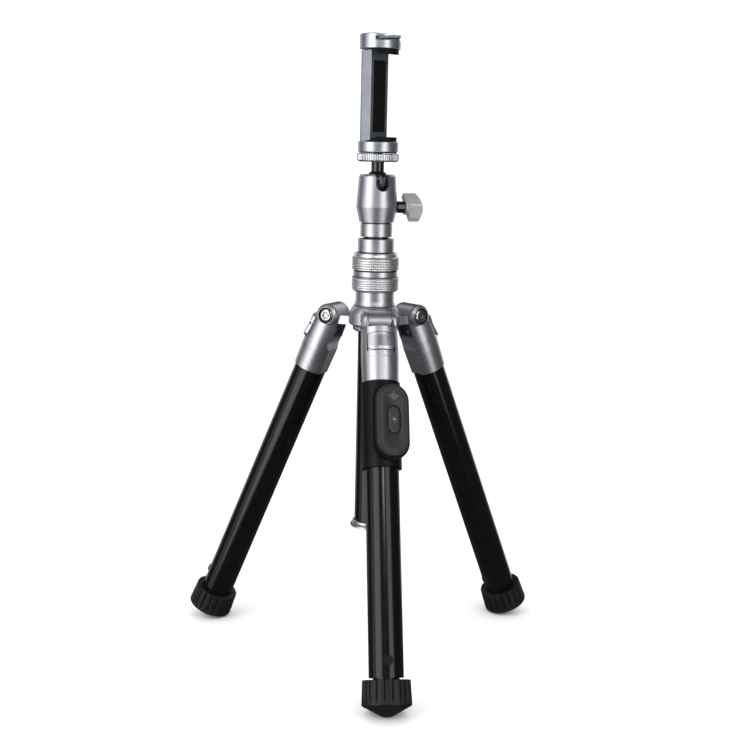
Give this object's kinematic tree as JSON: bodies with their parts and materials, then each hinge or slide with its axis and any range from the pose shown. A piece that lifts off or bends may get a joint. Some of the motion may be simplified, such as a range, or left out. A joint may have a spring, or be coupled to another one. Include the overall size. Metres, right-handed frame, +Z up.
{
  "type": "tripod phone stick",
  "caption": "Compact tripod stick with folding aluminium legs, telescoping centre column, single-knob ball head, spring phone clamp with accessory shoe, and a shutter remote docked on one leg.",
  "frame": {"origin": "on the column's axis, in the plane of the three foot tips", "axes": "+Z up the column, the front leg with the remote points along -Y, +X to the right seen from the front"},
  "size_m": [0.2668, 0.2357, 0.4444],
  "materials": {
    "satin_silver": "satin bead-blasted, silver anodised",
    "knurled_silver": "knurled, silver anodised",
    "black_anodised": "satin black anodised tube",
    "black_polymer": "fine matte moulded",
    "black_steel": "smooth black oxide",
    "wing_grey": "matte light grey",
    "black_rubber": "matte moulded rubber",
    "foot_rubber": "matte ribbed rubber",
    "face_graphite": "satin graphite",
    "bright_steel": "bright drawn steel",
    "polished_bolt": "polished",
    "button_steel": "satin dark metal",
    "remote_shell": "fine matte moulded",
    "remote_key_grey": "smooth satin",
    "board_green": "lacquered laminate",
    "cell_steel": "plated steel"
  },
  "bodies": {
    "hub": {"hub_body": "satin_silver", "hub_collet": "black_polymer"},
    "hub_ring": {"hub_lock_ring": "knurled_silver"},
    "column": {"column_tube": "black_anodised", "column_collar": "satin_silver", "column_collet": "black_polymer", "column_end_ring": "satin_silver"},
    "column_ring": {"column_lock_ring": "knurled_silver"},
    "section_a": {"section_a_tube": "black_anodised", "section_a_collar": "satin_silver"},
    "section_b": {"section_b_tube": "black_anodised", "section_b_collar": "satin_silver"},
    "section_c": {"section_c_tube": "black_anodised", "head_stud": "black_steel"},
    "head": {"head_housing": "satin_silver", "ball_seat": "black_polymer"},
    "knob": {"knob_screw": "black_steel", "knob_wing": "wing_grey"},
    "ball": {"ball_stem": "black_steel"},
    "clamp_ring": {"clamp_lock_ring": "knurled_silver"},
    "clamp": {"jaw_washer": "black_rubber", "lower_jaw": "satin_silver", "lower_jaw_pad": "black_rubber", "clamp_back_shell": "satin_silver", "clamp_face_plate": "face_graphite", "clamp_face_pad": "black_rubber", "clamp_screws": "bright_steel", "clamp_springs": "bright_steel"},
    "upper_clamp": {"upper_jaw": "satin_silver", "upper_jaw_pad": "black_rubber", "shoe_spring": "bright_steel", "guide_rods": "bright_steel"},
    "remote": {"remote_back_shell": "remote_shell", "remote_front_shell": "remote_shell", "remote_board": "board_green", "remote_cell": "cell_steel"},
    "remote_key": {"remote_button": "remote_key_grey"},
    "front_leg": {"front_leg_casting": "satin_silver", "front_leg_pivot_bolt": "polished_bolt", "front_leg_tube": "black_anodised", "remote_holder": "black_polymer"},
    "front_lock": {"front_leg_angle_lock": "satin_silver"},
    "front_snap": {"front_leg_button": "button_steel"},
    "front_extension": {"front_leg_extension": "black_anodised", "front_leg_foot": "foot_rubber"},
    "right_leg": {"right_leg_casting": "satin_silver", "right_leg_pivot_bolt": "polished_bolt", "right_leg_tube": "black_anodised"},
    "right_lock": {"right_leg_angle_lock": "satin_silver"},
    "right_snap": {"right_leg_button": "button_steel"},
    "right_extension": {"right_leg_extension": "black_anodised", "right_leg_foot": "foot_rubber"},
    "left_leg": {"left_leg_casting": "satin_silver", "left_leg_pivot_bolt": "polished_bolt", "left_leg_tube": "black_anodised"},
    "left_lock": {"left_leg_angle_lock": "satin_silver"},
    "left_snap": {"left_leg_button": "button_steel"},
    "left_extension": {"left_leg_extension": "black_anodised", "left_leg_foot": "foot_rubber"}
  },
  "joints": [
    {"name": "hub_ring_turn", "type": "hinge", "parent": "hub", "child": "hub_ring", "pos_m": [0, 0, 0.26974], "axis": [0, 0, 1], "range_deg": [0, 90]},
    {"name": "column_slide", "type": "slide", "parent": "hub", "child": "column", "axis": [0, 0, 1], "range_m": [0, 0.13]},
    {"name": "column_ring_turn", "type": "hinge", "parent": "column", "child": "column_ring", "pos_m": [0, 0, 0.28574], "axis": [0, 0, 1], "range_deg": [0, 90]},
    {"name": "section_a_slide", "type": "slide", "parent": "column", "child": "section_a", "axis": [0, 0, 1], "range_m": [0, 0.14]},
    {"name": "section_b_slide", "type": "slide", "parent": "section_a", "child": "section_b", "axis": [0, 0, 1], "range_m": [0, 0.14]},
    {"name": "section_c_slide", "type": "slide", "parent": "section_b", "child": "section_c", "axis": [0, 0, 1], "range_m": [0, 0.14]},
    {"name": "head_pan", "type": "hinge", "parent": "section_c", "child": "head", "pos_m": [0, 0, 0.31574], "axis": [0, 0, 1], "range_deg": [0, 360]},
    {"name": "knob_turn", "type": "hinge", "parent": "head", "child": "knob", "pos_m": [0, 0, 0.32464], "axis": [0.9781, 0.2079, 0], "range_deg": [0, 360]},
    {"name": "ball_tilt", "type": "hinge", "parent": "head", "child": "ball", "pos_m": [0, 0, 0.34294], "axis": [-0.9781, -0.2079, 0], "range_deg": [-85, 35]},
    {"name": "clamp_ring_turn", "type": "hinge", "parent": "ball", "child": "clamp_ring", "pos_m": [0, 0, 0.35874], "axis": [0, 0, 1], "range_deg": [0, 360]},
    {"name": "clamp_turn", "type": "hinge", "parent": "ball", "child": "clamp", "pos_m": [0, 0, 0.36574], "axis": [0, 0, 1], "range_deg": [0, 360]},
    {"name": "jaw_slide", "type": "slide", "parent": "clamp", "child": "upper_clamp", "axis": [0, 0, 1], "range_m": [0, 0.026], "stiffness_N_per_m": 120, "springref_m": -0.02, "deforming": ["clamp_springs"]},
    {"name": "front_leg_swing", "type": "hinge", "parent": "hub", "child": "front_leg", "pos_m": [0, -0.033, 0.24574], "axis": [-1, 0, 0], "range_deg": [-23.54, 144]},
    {"name": "front_lock_pull", "type": "slide", "parent": "front_leg", "child": "front_lock", "axis": [0, 0.9168, -0.3994], "range_m": [-0.003, 0], "stiffness_N_per_m": 300, "springref_m": 0.002},
    {"name": "front_snap_press", "type": "slide", "parent": "front_leg", "child": "front_snap", "axis": [0, 0.9168, -0.3994], "range_m": [0, 0.002], "stiffness_N_per_m": 400, "springref_m": -0.002},
    {"name": "front_leg_extend", "type": "slide", "parent": "front_leg", "child": "front_extension", "axis": [0, -0.3994, -0.9168], "range_m": [0, 0.11]},
    {"name": "right_leg_swing", "type": "hinge", "parent": "hub", "child": "right_leg", "pos_m": [0.02858, 0.0165, 0.24574], "axis": [0.5, -0.866, 0], "range_deg": [-23.54, 144]},
    {"name": "right_lock_pull", "type": "slide", "parent": "right_leg", "child": "right_lock", "axis": [-0.794, -0.4584, -0.3994], "range_m": [-0.003, 0], "stiffness_N_per_m": 300, "springref_m": 0.002},
    {"name": "right_snap_press", "type": "slide", "parent": "right_leg", "child": "right_snap", "axis": [0.794, 0.4584, 0.3994], "range_m": [0, 0.002], "stiffness_N_per_m": 400, "springref_m": -0.002},
    {"name": "right_leg_extend", "type": "slide", "parent": "right_leg", "child": "right_extension", "axis": [0.3459, 0.1997, -0.9168], "range_m": [0, 0.11]},
    {"name": "left_leg_swing", "type": "hinge", "parent": "hub", "child": "left_leg", "pos_m": [-0.02858, 0.0165, 0.24574], "axis": [0.5, 0.866, 0], "range_deg": [-23.54, 144]},
    {"name": "left_lock_pull", "type": "slide", "parent": "left_leg", "child": "left_lock", "axis": [0.794, -0.4584, -0.3994], "range_m": [-0.003, 0], "stiffness_N_per_m": 300, "springref_m": 0.002},
    {"name": "left_snap_press", "type": "slide", "parent": "left_leg", "child": "left_snap", "axis": [0.794, -0.4584, -0.3994], "range_m": [0, 0.002], "stiffness_N_per_m": 400, "springref_m": -0.002},
    {"name": "left_leg_extend", "type": "slide", "parent": "left_leg", "child": "left_extension", "axis": [-0.3459, 0.1997, -0.9168], "range_m": [0, 0.11]},
    {"name": "remote_pull_off", "type": "slide", "parent": "front_leg", "child": "remote", "axis": [-0.3469, 0.8598, -0.3746], "range_m": [-0.02, 0]},
    {"name": "remote_press", "type": "slide", "parent": "remote", "child": "remote_key", "axis": [-0.3469, 0.8598, -0.3746], "range_m": [0, 0.0004], "stiffness_N_per_m": 500, "springref_m": -0.0008}
  ]
}
